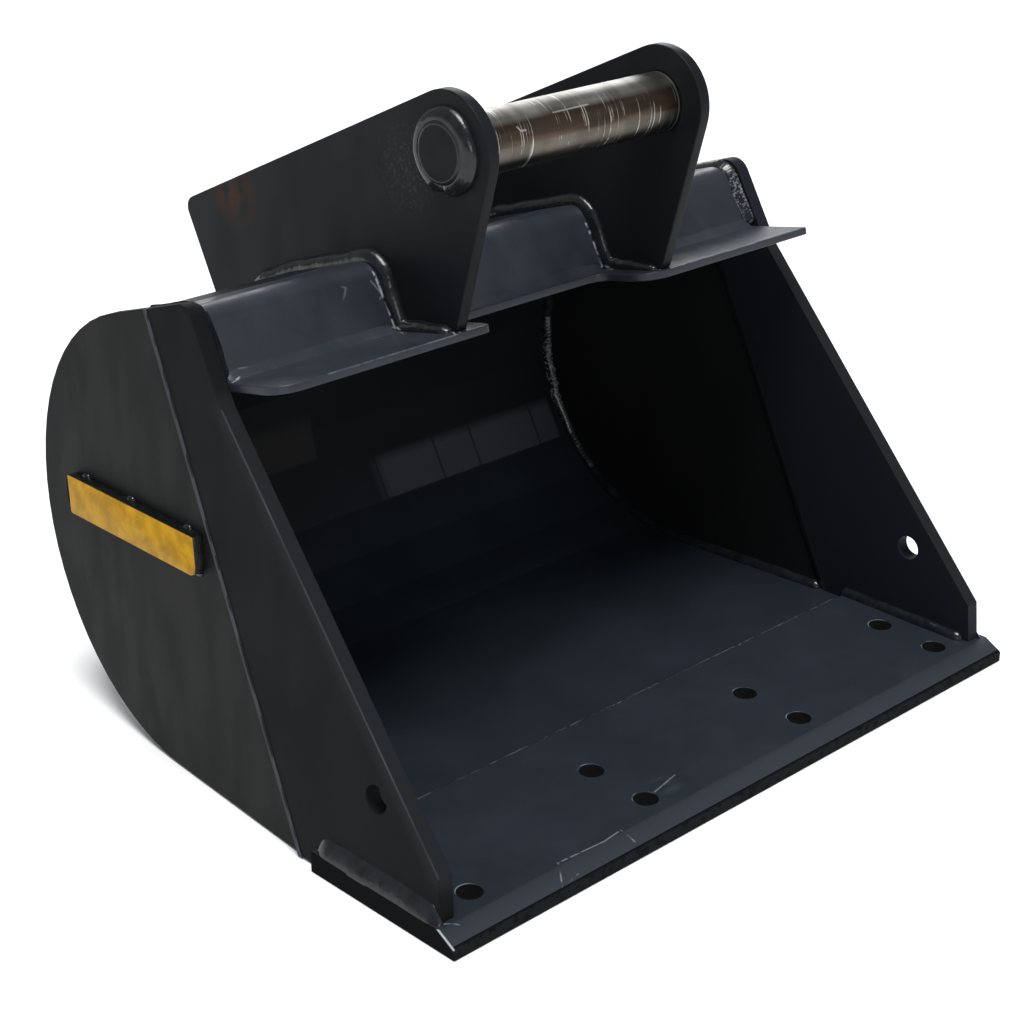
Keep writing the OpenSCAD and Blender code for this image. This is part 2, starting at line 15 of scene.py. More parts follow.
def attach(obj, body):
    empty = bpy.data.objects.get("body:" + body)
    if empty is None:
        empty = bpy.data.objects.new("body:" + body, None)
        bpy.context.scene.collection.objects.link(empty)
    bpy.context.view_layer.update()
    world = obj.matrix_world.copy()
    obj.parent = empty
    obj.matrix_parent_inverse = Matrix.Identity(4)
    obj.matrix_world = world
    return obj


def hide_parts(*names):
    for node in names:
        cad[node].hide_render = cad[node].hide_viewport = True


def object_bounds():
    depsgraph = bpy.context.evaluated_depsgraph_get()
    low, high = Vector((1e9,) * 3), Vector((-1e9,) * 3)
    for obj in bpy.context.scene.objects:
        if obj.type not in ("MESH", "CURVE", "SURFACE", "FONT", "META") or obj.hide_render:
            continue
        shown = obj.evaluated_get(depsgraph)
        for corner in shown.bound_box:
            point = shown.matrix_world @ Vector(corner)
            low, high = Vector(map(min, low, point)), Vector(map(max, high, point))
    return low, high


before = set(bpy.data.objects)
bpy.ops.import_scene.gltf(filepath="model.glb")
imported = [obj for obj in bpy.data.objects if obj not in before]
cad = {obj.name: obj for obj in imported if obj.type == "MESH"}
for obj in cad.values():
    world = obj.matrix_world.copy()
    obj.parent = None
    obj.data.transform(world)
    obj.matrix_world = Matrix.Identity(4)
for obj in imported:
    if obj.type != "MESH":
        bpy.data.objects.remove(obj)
cad_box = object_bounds()
bpy.ops.object.select_all(action="DESELECT")
print("CAD nodes:", len(cad), "box:", [round(v, 3) for v in (*cad_box[0], *cad_box[1])])

# %% [markdown]
# ## One drawing frame
# The shop drawing measures everything in millimetres from the tip of the cutting edge: x across, y back from the tip,
# z up. The model's own origin is under the middle of the bucket. One function turns drawing millimetres into the
# model's metres, so every later cell can use the numbers of the drawing.

# %% From drawing millimetres to the model's metres
MM = 0.001
HALF_DEPTH = -cad_box[0][1] / MM


def place(points):
    """Drawing millimetres, one point or many, as metres in the model."""
    return (np.asarray(points, float) - [0, HALF_DEPTH, 0]) * MM


def y_at(y_mm):
    """The model's y of a plane across the bucket, in metres."""
    return place((0, y_mm, 0))[1]


def unit(v):
    return np.asarray(v, float) / np.linalg.norm(v)


print("tip of the edge to the origin:", round(HALF_DEPTH, 2), "mm")

# %% [markdown]
# ## Where the plates meet
# Every weld lies in a corner between two plates, so the beads need the same lines as the plates. These cells repeat
# the few drawing values that fix those lines: the bent shell round the heel, the joint behind each side cutter, the
# crown, the beam and the flange. In the side view a point is [distance from the tip, height].

# %% Lines of the side view
def turn(degrees):
    """A direction in the side view, as a vector of length 1."""
    a = math.radians(degrees)
    return np.array([math.cos(a), math.sin(a)])


HEEL, HEEL_R, WRAP_R, WRAP_IN_R = np.array([324.0, 174.0]), 173.0, 169.0, 163.0
BENDS, BEND_STEP, BEAM_R = 12, 13.5, 16
KINK_Y, FACE_RISE, FACE_LEG, BEAM_SET_IN, SEAM_SHARE = 242.0, 75.1, 53.7, 7, 0.49
FLOOR_UNDER, FLOOR_TOP, LIP_T, LIP_L = 5.0, 11.0, 16.0, 145.0
CROWN_BACK, CROWN_UP = turn(-18), turn(72)
FACE_UP, FACE_IN = turn(61), turn(-29)
FLANGE_OUT, FLANGE_UP = turn(169), turn(79)
JOINT_FOOT, JOINT_UP, JOINT_BACK = np.array([167.0, 8.5]), turn(65.3), turn(-24.7)


def bend_point(radius, k):
    """Bend k of the wrapper, counted from the lowest point of the heel."""
    return HEEL + radius * turn(k * BEND_STEP - 90)


def meet(p, d, q, e):
    """Where two lines of the side view cross."""
    return p + d * np.cross(q - p, e) / np.cross(d, e)


crown_end = HEEL + HEEL_R * CROWN_UP
top_y = KINK_Y + FACE_RISE * FACE_UP[0]
KINK = crown_end + CROWN_BACK * (top_y - crown_end[0]) / CROWN_BACK[0] - FACE_UP * FACE_RISE
BEAM_CORNER = meet(KINK + FACE_IN * BEAM_SET_IN, FACE_UP, bend_point(WRAP_R, BENDS), CROWN_BACK)
WRAP_SEAM = bend_point(WRAP_R, BENDS) * (1 - SEAM_SHARE) + BEAM_CORNER * SEAM_SHARE
ROOT = BEAM_CORNER - FACE_UP * FACE_LEG
half_opening = math.acos(-FACE_UP @ CROWN_BACK) / 2
BEAM_BEND = BEAM_CORNER + unit(CROWN_BACK - FACE_UP) * BEAM_R / math.sin(half_opening)
print("beam corner at", BEAM_CORNER.round(1), "foot of the beam face at", ROOT.round(1))

# %% Planes of the leaning sides, as x for a place in the side view
LEAN, REAR_TURN = math.radians(2.14), math.radians(4.6)
HALF_FOOT, CUTTER_T, SHEET_OUT, SHEET_IN = 294.5, 12, 2, 10
n1 = np.array([math.cos(REAR_TURN), math.sin(REAR_TURN) * JOINT_UP[1], -math.sin(REAR_TURN) * JOINT_UP[0]])
REAR_N = np.array([n1[0] * math.cos(LEAN) - n1[2] * math.sin(LEAN), n1[1],
                   n1[0] * math.sin(LEAN) + n1[2] * math.cos(LEAN)])
REAR_AT = np.array([HALF_FOOT - JOINT_FOOT[1] * math.sin(LEAN), JOINT_FOOT[0], JOINT_FOOT[1] * math.cos(LEAN)])


def cutter_x(p, inset):
    """Half the width at a place of the side view, on a plane inset from the cutters' outer faces."""
    return HALF_FOOT - (inset + p[1] * math.sin(LEAN)) / math.cos(LEAN)


def sheet_x(p, inset):
    """The same between the turned rear sheets, whose faces are inset by SHEET_OUT and SHEET_IN."""
    return REAR_AT[0] - (inset + REAR_N[1] * (p[0] - REAR_AT[1]) + REAR_N[2] * (p[1] - REAR_AT[2])) / REAR_N[0]


def on_cutter(p, inset):
    return np.array([cutter_x(p, inset), p[0], p[1]])


def on_sheet(p, inset):
    return np.array([sheet_x(p, inset), p[0], p[1]])


print("inner width at the pin:", round(2 * cutter_x([257, 318], CUTTER_T), 1), "mm")

# %% [markdown]
# ## Camera
# The bucket is seen from its front left, a little from above, through a medium long lens. The camera stands where
# forty known corners of the bucket fall on their places in the photograph, and it is made first so that each later
# piece can be judged in the same view.

# %% Camera at the photograph's viewing angle
camera_data = bpy.data.cameras.new("camera")
camera_data.lens, camera_data.sensor_width = 76.9, 36.0
camera = bpy.data.objects.new("camera", camera_data)
bpy.context.scene.collection.objects.link(camera)
camera.location = place((-1078.8, -867.2, 826.0))
aim = Vector(place((-39.2, 219.1, 165.4))) - camera.location
camera.rotation_euler = aim.to_track_quat("-Z", "Y").to_euler()
bpy.context.scene.camera = camera
print("camera is", round(aim.length, 3), "m from its aim")

# %% [markdown]
# ## Colours and nodes
# Paint colours are written as sRGB hex values, as on a colour card, and one function turns them into the linear values
# that the shader wants. The other small functions add a node with its settings and its links, which keeps each
# material readable as a list of steps.

# %% Helpers for every material
def colour(code):
    """'#20242a' as a linear colour with alpha."""
    channels = [int(code[i:i + 2], 16) / 255 for i in (1, 3, 5)]
    return tuple(c / 12.92 if c <= 0.04045 else ((c + 0.055) / 1.055) ** 2.4 for c in channels) + (1.0,)


def add(tree, kind, inputs=None, **settings):
    """A new node with its settings. An input is a value, or the socket that feeds it."""
    made = tree.nodes.new(kind)
    for name, value in settings.items():
        setattr(made, name, value)
    for name, value in (inputs or {}).items():
        if isinstance(value, bpy.types.NodeSocket):
            tree.links.new(value, made.inputs[name])
        else:
            made.inputs[name].default_value = value
    return made


def maths(tree, operation, a, b=0.0):
    return add(tree, "ShaderNodeMath", {0: a, 1: b}, operation=operation).outputs[0]


def product(tree, *amounts):
    """Several masks multiplied, so a mark shows only where all of them do."""
    result = amounts[0]
    for amount in amounts[1:]:
        result = maths(tree, "MULTIPLY", result, amount)
    return result


def vectors(tree, operation, a, b=(0, 0, 0)):
    """A vector operation, as its number if it gives one and as its vector otherwise."""
    made = add(tree, "ShaderNodeVectorMath", {0: a, 1: b}, operation=operation)
    return made.outputs["Value" if operation in ("LENGTH", "DISTANCE", "DOT_PRODUCT") else "Vector"]


def axis(tree, vector, letter):
    return add(tree, "ShaderNodeSeparateXYZ", {"Vector": vector}).outputs[letter]


def ramp(tree, value, low, high, to=(0.0, 1.0), shape="LINEAR"):
    """The first number of to where the value is low, the second one where it is high, and level beyond both."""
    inputs = {"Value": value, "From Min": low, "From Max": high, "To Min": to[0], "To Max": to[1]}
    return add(tree, "ShaderNodeMapRange", inputs, interpolation_type=shape).outputs[0]


def blend(tree, amount, first, second):
    """From the first colour to the second one, as the amount goes from 0 to 1."""
    mixed = add(tree, "ShaderNodeMix", data_type="RGBA")
    for socket, value in ((mixed.inputs[0], amount), (mixed.inputs[6], first), (mixed.inputs[7], second)):
        if isinstance(value, bpy.types.NodeSocket):
            tree.links.new(value, socket)
        else:
            socket.default_value = value
    return mixed.outputs[2]


def fleck(tree, spot, size_mm, detail=2.0, low=0.35, high=0.65, stretch=(1, 1, 1)):
    """Noise whose grains are size_mm across, spread to run from 0 to 1."""
    moved = add(tree, "ShaderNodeMapping", {"Vector": spot, "Scale": stretch}).outputs[0]
    grain = add(tree, "ShaderNodeTexNoise", {"Vector": moved, "Scale": 1 / (size_mm * MM), "Detail": detail})
    return ramp(tree, grain.outputs["Fac"], low, high)


def new_material(name, roughness, metallic=0.0, ior=1.5):
    """A material with its shader, and the place on the piece in metres."""
    made = bpy.data.materials.new(name)
    made.use_nodes = True
    tree = made.node_tree
    shader = tree.nodes["Principled BSDF"]
    shader.inputs["Roughness"].default_value = roughness
    shader.inputs["Metallic"].default_value = metallic
    if not metallic:
        shader.inputs["IOR"].default_value = ior
    spot = add(tree, "ShaderNodeTexCoord").outputs["Object"]
    return made, tree, shader, spot


print("colour helper gives", [round(v, 4) for v in colour("#202329")])

# %% [markdown]
# ## Satin black paint
# The plates are hot-rolled steel under a satin black two-pack enamel, sprayed in one coat. Such a coat has a fine
# orange peel of about 2 mm, follows the slight waves of the rolled plate, and is duller where dust fell into it. The
# colour hardly changes, so most of the look comes from roughness and bump.

# %% Shapes of marks: a thin line, a round patch, and several together
def segment(tree, spot, start, end, width_mm):
    """1 on a thin line between two places of the drawing, 0 away from it."""
    a, b = Vector(place(start)), Vector(place(end))
    from_a = vectors(tree, "SUBTRACT", spot, a)
    along = vectors(tree, "DOT_PRODUCT", from_a, (b - a) / (b - a).length_squared)
    held = add(tree, "ShaderNodeClamp", {"Value": along}).outputs[0]
    foot = add(tree, "ShaderNodeVectorMath", {0: b - a, "Scale": held}, operation="SCALE").outputs["Vector"]
    return ramp(tree, vectors(tree, "DISTANCE", from_a, foot), width_mm * MM, width_mm * MM * 0.4)


def patch(tree, spot, centre, size_mm):
    """1 in the middle of a round mark, fading to 0 at its rim."""
    away = vectors(tree, "DISTANCE", spot, Vector(place(centre)))
    return ramp(tree, away, size_mm * MM / 2, 0.0, shape="SMOOTHSTEP")


def most(tree, amounts):
    """The strongest of several marks at each place."""
    strongest = amounts[0]
    for amount in amounts[1:]:
        strongest = maths(tree, "MAXIMUM", strongest, amount)
    return strongest


def strokes(tree, spot, lines, width_mm):
    """Thin lines, each through its own row of places."""
    return most(tree, [segment(tree, spot, p, q, width_mm) for line in lines for p, q in zip(line, line[1:])])


# %% The coat of paint itself
def peel_and_waves(tree, shader, spot, peel_mm=2.2, peel=0.10, waves=0.25):
    """Bump of the sprayed coat: the waves of the plate, then orange peel."""
    rolled = add(tree, "ShaderNodeBump", {"Height": fleck(tree, spot, 55, 1.0), "Distance": 0.0012, "Strength": waves})
    bump = add(tree, "ShaderNodeBump", {"Height": fleck(tree, spot, peel_mm, 1.5), "Distance": 0.0003,
                                        "Strength": peel, "Normal": rolled.outputs[0]})
    tree.links.new(bump.outputs[0], shader.inputs["Normal"])


def satin_paint(name, dark="#1f242a", light="#23282f", dull=0.46, gloss=0.38, shine=0.5):
    """Satin black enamel on rolled plate, with wiped smears. Returns what a mark needs."""
    made, tree, shader, spot = new_material(name, dull, ior=1.3)
    shader.inputs["Specular IOR Level"].default_value = shine
    smear = fleck(tree, spot, 26, 4.0, 0.42, 0.62, stretch=(1, 1, 0.35))
    base = blend(tree, fleck(tree, spot, 70, 3.0), colour(dark), colour(light))
    return made, tree, shader, spot, base, ramp(tree, smear, 0.0, 1.0, to=(gloss, dull))


def finish_colour(tree, shader, shade):
    """One colour for the light that the surface throws back."""
    tree.links.new(shade, shader.inputs["Base Color"])


def finish_paint(parts, marks=()):
    """Lays each mark, as (mask, strength, colour, roughness), over the coat and closes the material."""
    made, tree, shader, spot, base, rough = parts
    for mask, strength, code, dullness in marks:
        amount = product(tree, mask, strength)
        base = blend(tree, amount, base, colour(code))
        keep = product(tree, rough, maths(tree, "SUBTRACT", 1.0, amount))
        rough = maths(tree, "ADD", keep, product(tree, amount, dullness))
    finish_colour(tree, shader, base)
    tree.links.new(rough, shader.inputs["Roughness"])
    peel_and_waves(tree, shader, spot, peel=0.08, waves=0.10)
    return made


paint = finish_paint(satin_paint("satin black enamel on rolled plate"))
side_paint = finish_paint(satin_paint("satin black enamel on the sides", "#161718", "#191a1b", 0.56, 0.48, 0.14))
print("paint nodes:", len(paint.node_tree.nodes))

# %% [markdown]
# ## Marks in the paint
# A new bucket still has a history: a grinder heated the rear top of the left ear and browned its paint, a blade scored
# the bevel of the cutting edge, and gloves wiped the beam while the coat was soft. Each mark is a mask from the place
# on the plate, in drawing millimetres, and changes colour and roughness only there. Some masks paint light and shade
# instead: painted reflections, painted highlights and painted shade.

# %% Bright lines along the toes of the beads, at the foot of the beam and at the ends of the lip
TOES = [
    [(-118.5, 279.0, 357.3), (-118, 273.3, 347.1), (-117, 266.0, 333.9), (-117, 258.3, 320.0)],
    [(-143.5, 258.4, 320.4), (-127.4, 258.3, 320.4), (-115.8, 257.7, 320), (-123.1, 242.2, 321.2)],
    [(93.2, 276.3, 352.6), (94.5, 269.5, 340.3), (94.7, 263.9, 330.0), (94.1, 258.7, 320.7)],
    [(61.4, 257.5, 319.2), (81.0, 258.2, 320.2), (96.8, 258.2, 320), (92.9, 244.7, 320.8)],
    [(264.2, 280.8, 360.5), (267.9, 271.1, 343.2), (270.5, 261.6, 326.0)],
    [(272.3, 258.5, 320.3), (283.8, 257.3, 318.3)],
    [(-269.0, 248.2, 320.1), (-250.6, 258.2, 318.2), (-233.6, 263.7, 317.1)]]
FOOT_MARKS = [
    [(-100.5, 218.0, 325.8), (-115, 197.1, 330.1)], [(-98, 218.9, 325.6), (-110, 196.7, 330.4)],
    [(-281, 250, 318), (-270, 246, 322)], [(115.6, 217.9, 325.9), (99, 201.8, 329)]]
BRIGHT_ENDS = [[(-299.4, 19, 18), (-299.7, 14, 15.8), (-299.9, 1, 8.5)]]


def bright_toes(tree, spot):
    """The bright toe lines, broken into short lengths."""
    return product(tree, strokes(tree, spot, TOES, 1.3), fleck(tree, spot, 6, 4.0, 0.42, 0.54))


print("rubbed lines:", len(TOES) + len(FOOT_MARKS) + len(BRIGHT_ENDS))

# %% Wrapper, with a painted reflection on one facet inside, a painted patch of light beside it, painted shade higher up and a rubbed line along the floor seam
parts = satin_paint("satin black enamel on the wrapper", "#1d2228", "#21262d", 0.48, 0.40, 0.14)
tree, spot = parts[1], parts[3]
WALL_BEHIND, REFLECTION_X, LIGHT_PATCH_X, SEAM_Y = 400, (32, 250, 16, 3), (-140, -17, 20, 2), 151.5


def window(letter, low_mm, high_mm, soft_low_mm, soft_high_mm):
    """1 between two planes across an axis, with its own softness at each."""
    value = axis(tree, spot, letter)
    return product(tree, ramp(tree, value, low_mm * MM, (low_mm + soft_low_mm) * MM),
                   ramp(tree, value, high_mm * MM, (high_mm - soft_high_mm) * MM))


def on_wall(x_window, z_window):
    """A window on the rear wall, on its inner face only: nearer to the heel's axis than the middle of the plate."""
    from_heel = vectors(tree, "MULTIPLY", vectors(tree, "SUBTRACT", spot, place((0, *HEEL))), (0, 1, 1))
    inner = maths(tree, "LESS_THAN", vectors(tree, "LENGTH", from_heel), (WRAP_IN_R + 1.5) * MM)
    behind = maths(tree, "GREATER_THAN", axis(tree, spot, "Y"), y_at(WALL_BEHIND))
    return product(tree, window("X", *x_window), window("Z", *z_window), behind, inner)


foot_of, top_of = bend_point(WRAP_IN_R, 4), bend_point(WRAP_IN_R, 5)
# Painted reflection: a light band on one facet of the rear wall inside, crossed by four dark lines
lines = strokes(tree, spot, [[(x, *foot_of), (x, *top_of)] for x in (40, 107, 150, 224)], 1.6)
strip = on_wall(REFLECTION_X, (foot_of[1], top_of[1] + 2, 1.0, 8))
strip = product(tree, strip, maths(tree, "SUBTRACT", 1.0, product(tree, lines, 0.75)))
# A painted patch of light on the rear wall inside, left of the middle
light_patch = on_wall(LIGHT_PATCH_X, (124, 166, 3, 12))
worn = fleck(tree, spot, 7, 4.0, 0.44, 0.60, stretch=(0.5, 1, 1))
line = segment(tree, spot, (-276, SEAM_Y, 11), (276, SEAM_Y, 11), 1.4)
# Painted shade: the wrapper turns darker from 60 mm above the floor, fully at 120 mm
shaded = ramp(tree, axis(tree, spot, "Z"), 0.06, 0.12)
wrapper_paint = finish_paint(parts, [
    (shaded, 0.7, "#141617", 0.48),
    (strip, 1.0, "#3c3e43", 0.42),
    (light_patch, 0.6, "#302f2c", 0.5),
    (product(tree, line, worn), 0.5, "#59616b", 0.4)])
print("wrapper paint nodes:", len(tree.nodes))

# %% Side cutters, a shade lighter on their front edge faces, with a faint light line along the rim, a few bright chips, and painted light on the right one
parts = satin_paint("satin black enamel on the side cutters", "#131416", "#161719", 0.56, 0.50, 0.10)
tree, spot = parts[1], parts[3]
NOSE = np.array([22.0, 48.0])
folded = add(tree, "ShaderNodeCombineXYZ", {"X": maths(tree, "ABSOLUTE", axis(tree, spot, "X")),
                                            "Y": axis(tree, spot, "Y"), "Z": axis(tree, spot, "Z")}).outputs[0]
edge = [on_cutter(p, CUTTER_T / 2) for p in (NOSE, KINK)]
rim = [on_cutter(p, 0) for p in (NOSE, KINK)]
# The front edge faces a shade lighter, and a faint light line along the outer rim; the rare bright spots are chips
strip = segment(tree, folded, *edge, 14)
rim_line = product(tree, segment(tree, folded, *rim, 1.2), fleck(tree, spot, 90, 2.0, 0.30, 0.62))
rare = product(tree, segment(tree, folded, *rim, 2.4), fleck(tree, spot, 12, 3.0, 0.70, 0.73))
# Painted light: the right cutter's coat is a shade lighter than the left one's, on both faces
right = maths(tree, "GREATER_THAN", axis(tree, spot, "X"), 0.0)
cutter_paint = finish_paint(parts, [
    (right, 1.0, "#1c1f25", 0.50),
    (strip, 0.9, "#1e2022", 0.46),
    (rim_line, 0.40, "#5a6068", 0.4),
    (rare, 0.8, "#c9ced4", 0.4)])
print("front edge runs from", NOSE, "to", KINK.round(1))

# %% Cutting edge with score marks, painted shade on its end and front faces, painted shade inside its bolt holes and a painted highlight on their far rims
parts = satin_paint("satin black enamel, scored", "#1f242a", "#23282f", 0.46, 0.38, 0.5)
tree, shader, spot = parts[1:4]
BOX = [(-200, 2, 10), (-188.5, 18.3, 16), (-146.8, 15.5, 16), (-128.2, 17.5, 16), (-126, 6, 11)]
SCORES = [[(-74, 36, 16), (-46, 42, 16)], [(-292, 18, 16), (-284, 12, 15)]]
HOLES = [(85, 34), (85, 88), (255, 34), (255, 88)]
HOLE_REACH = 0.0094
broken = fleck(tree, spot, 5, 3.0, 0.36, 0.50)
scores = most(tree, [strokes(tree, spot, [BOX], 0.9), segment(tree, spot, (-200, 2, 10), (-182, 5, 11), 0.7),
                     strokes(tree, spot, SCORES, 0.8)])
wiped = product(tree, patch(tree, spot, (-62, 38, 16), 34), fleck(tree, spot, 9, 4.0, 0.40, 0.62, stretch=(0.3, 1, 1)))
across, back = maths(tree, "ABSOLUTE", axis(tree, spot, "X")), axis(tree, spot, "Y")
plan_view = add(tree, "ShaderNodeCombineXYZ", {"X": across, "Y": back}).outputs[0]


def near_hole(shift_mm):
    """Distance in plan from the nearest bolt hole, each shifted to the back."""
    reach = [vectors(tree, "DISTANCE", plan_view, place((x, y + shift_mm, 0)) * [1, 1, 0]) for x, y in HOLES]
    return maths(tree, "MINIMUM", maths(tree, "MINIMUM", *reach[:2]), maths(tree, "MINIMUM", *reach[2:]))


# Painted shade: the inside of each bolt hole nearly black
in_hole = maths(tree, "LESS_THAN", near_hole(0), HOLE_REACH)
# Painted highlight: a light crescent on the far rim of each bolt hole
far_rim_highlight = maths(tree, "LESS_THAN", near_hole(1.1), HOLE_REACH)
far_rim_highlight = product(tree, far_rim_highlight, fleck(tree, spot, 10, 2.0, 0.40, 0.62))
# Painted shade: the end faces and the front face of the bar are painted darker and given little shine
at_end = maths(tree, "GREATER_THAN", across, 0.2995)
at_front = maths(tree, "LESS_THAN", back, y_at(2.5))
sawn = maths(tree, "MAXIMUM", at_end, at_front)
tree.links.new(ramp(tree, sawn, 0.0, 1.0, to=(0.5, 0.04)), shader.inputs["Specular IOR Level"])
bevel = ramp(tree, back, y_at(15.6), y_at(14.6))
tip = ramp(tree, back, y_at(1.6), y_at(0.2))
edge_paint = finish_paint(parts, [
    (bevel, 0.8, "#2b3036", 0.42),
    (sawn, 1.0, "#0d0e0f", 0.6),
    (strokes(tree, spot, BRIGHT_ENDS, 1.3), 0.8, "#b2b6bb", 0.35),
    (far_rim_highlight, 0.7, "#6d7681", 0.35),
    (in_hole, 1.0, "#060708", 0.9),
    (wiped, 0.35, "#4d555f", 0.5),
    (product(tree, scores, broken), 0.5, "#7f8993", 0.4),
    (product(tree, tip, broken), 0.06, "#565d66", 0.4)])
print("bolt holes with a rubbed rim:", 2 * len(HOLES))

# %% Floor seam, rubbed bright here and there
parts = satin_paint("satin black enamel on the floor seam", "#22272e", "#2a2f37", 0.40, 0.32, 0.5)
tree, spot = parts[1], parts[3]
specks = product(tree, fleck(tree, spot, 4, 3.0, 0.54, 0.60), fleck(tree, spot, 60, 2.0, 0.45, 0.65))
seam_paint = finish_paint(parts, [(specks, 0.7, "#8b949e", 0.35)])
print("seam paint:", seam_paint.name)

# %% Ears with the brown heat mark
parts = satin_paint("satin black enamel on the ears", "#14171a", "#181b1e", 0.50, 0.42, 0.22)
tree, spot = parts[1], parts[3]
torn = fleck(tree, spot, 16, 4.0, 0.36, 0.60)
brown = product(tree, patch(tree, spot, (-110, 452, 379), 74), torn)
spatter = product(tree, patch(tree, spot, (-110, 248, 436), 90), fleck(tree, spot, 2.6, 3.0, 0.54, 0.62))
ear_paint = finish_paint(parts, [(brown, 0.9, "#4a2d13", 0.55), (spatter, 0.35, "#4a5057", 0.4)])
print("ear paint:", ear_paint.name)

# %% Beam and flange with wiped marks
SMEARS = [
    [(-149.6, 276.7, 353.3), (-146.4, 275.9, 351.8), (-151.6, 272.4, 345.5)],
    [(-123.4, 276.0, 351.9), (-117.6, 270.2, 341.5), (-127.3, 267.4, 336.3), (-131.4, 263.9, 330.1),
     (-131.0, 259.9, 322.9)],
    [(-254.5, 259.9, 323.0), (-240.7, 259.0, 321.3), (-209.0, 259.0, 321.2)],
    [(-228, 196.3, 329.8), (-113, 196.3, 329.8)], [(119, 196.3, 329.8), (284, 196.3, 329.8)]]
parts = satin_paint("satin black enamel, wiped", "#24282e", "#292d34", 0.44, 0.30, 0.75)
tree, spot = parts[1], parts[3]
cloudy = fleck(tree, spot, 38, 4.0, 0.50, 0.70)
smears = product(tree, strokes(tree, spot, SMEARS, 1.1), fleck(tree, spot, 12, 4.0, 0.40, 0.60))
lightened = most(tree, [bright_toes(tree, spot), strokes(tree, spot, FOOT_MARKS, 1.0)])
beam_paint = finish_paint(parts, [
    (cloudy, 0.30, "#343942", 0.36),
    (smears, 0.45, "#6d747e", 0.4),
    (lightened, 0.6, "#a9aeb4", 0.4)])
print("marked paints:", edge_paint.name, "|", ear_paint.name, "|", beam_paint.name)

# %% [markdown]
# ## Painted weld metal
# A bead is painted with the rest, but the coat pools in its ripples and stays glossier there, so beads catch small
# bright lights that the flat plates don't. The ripples themselves are modelled, so the bump only adds a fine peel.
# Fine glints on some ripples are also painted into the colour, as painted highlights, together with the bright toe
# lines.

# %% The paint over a bead
bead_paint, tree, shader, spot = new_material("glossy black enamel over weld metal", 0.20, ior=1.45)
base = blend(tree, fleck(tree, spot, 9, 3.0), colour("#121416"), colour("#1b1e22"))
# Painted highlights: fine bright specks on three patches of bead, where the ripples sparkle
lightened = most(tree, [patch(tree, spot, (250, 474, 132), 110), patch(tree, spot, (266, 270, 345), 60),
                     patch(tree, spot, (-278, 250, 320), 24)])
glint = product(tree, fleck(tree, spot, 2.4, 2.0, 0.52, 0.60), lightened)
glint = most(tree, [product(tree, glint, 0.42), product(tree, bright_toes(tree, spot), 0.75),
                    strokes(tree, spot, BRIGHT_ENDS, 1.8), strokes(tree, spot, FOOT_MARKS, 1.0)])
finish_colour(tree, shader, blend(tree, product(tree, glint, 0.85), base, colour("#a9aeb4")))
rough = ramp(tree, fleck(tree, spot, 6, 2.0), 0.0, 1.0, to=(0.14, 0.26))
tree.links.new(rough, shader.inputs["Roughness"])
peel_and_waves(tree, shader, spot, peel_mm=2.5, peel=0.06, waves=0.0)
print("bead paint nodes:", len(tree.nodes))

# %% [markdown]
# ## Bare pin steel
# The coupler pin is turned steel. The hook of the coupler has rubbed the paint off between the ears and left rings
# round it, with a brown band of oil along its front; the ends outside stay painted. Its colour also carries a painted
# highlight along the top, a lighter band below the middle and painted shade underneath.

# %% Turned and rubbed steel between the ears
PIN, PIN_R = (0, 209, 455.5), 22.5
LAST_RING, PAINT_FROM, RIM_FROM = 0.0978, 0.0995, 0.0192
SCRATCHES = [[(-25.2, 192.7, 471.0), (9.1, 192.8, 471.1)],
             [(-62.4, 190.0, 467.5), (-60.1, 188.5, 464.7), (-55.4, 188.4, 464.6)]]
pin_steel, tree, shader, spot = new_material("turned steel with oil", 0.3, metallic=1.0)
round_pin = add(tree, "ShaderNodeMapping", {"Vector": spot, "Location": tuple(-place(PIN))}).outputs[0]
thin = product(tree, fleck(tree, round_pin, 1.3, 2.0, 0.60, 0.66, stretch=(1, 0.02, 0.02)),
               fleck(tree, round_pin, 14, 3.0, 0.46, 0.58, stretch=(1, 0.8, 0.8)))
wide_rings = fleck(tree, round_pin, 16, 3.0, 0.42, 0.60, stretch=(1, 0.25, 0.25))
streaks = fleck(tree, round_pin, 11, 4.0, 0.44, 0.60, stretch=(0.15, 1, 1))
height, along_pin = axis(tree, round_pin, "Z"), axis(tree, spot, "X")
# Bands by height round the axis: painted highlight along the top, a lighter band below the middle, painted shade
# underneath
highlight_top = ramp(tree, height, 0.0140, 0.0172)
lighter_low = ramp(tree, height, 0.0010, -0.0010)
shade_low = ramp(tree, height, -0.006, -0.013)
steel = blend(tree, streaks, colour("#5c4f46"), colour("#443931"))
steel = blend(tree, lighter_low, steel, blend(tree, wide_rings, colour("#67615a"), colour("#58534b")))
steel = blend(tree, product(tree, shade_low, 0.8), steel, colour("#2a2825"))
steel = blend(tree, highlight_top, steel, blend(tree, wide_rings, colour("#76746f"), colour("#98958f")))
last_ring = maths(tree, "COMPARE", along_pin, LAST_RING)
last_ring.node.inputs[2].default_value = 0.0006
scratched = most(tree, [thin, last_ring, strokes(tree, spot, SCRATCHES, 0.8)])
steel = blend(tree, product(tree, scratched, 0.85), steel, colour("#dad7d2"))
painted = maths(tree, "GREATER_THAN", maths(tree, "ABSOLUTE", along_pin), PAINT_FROM)
finish_colour(tree, shader, blend(tree, painted, steel, colour("#0e1012")))
print("pin bands, lowest first:", "shade, lighter band, brown, highlight")

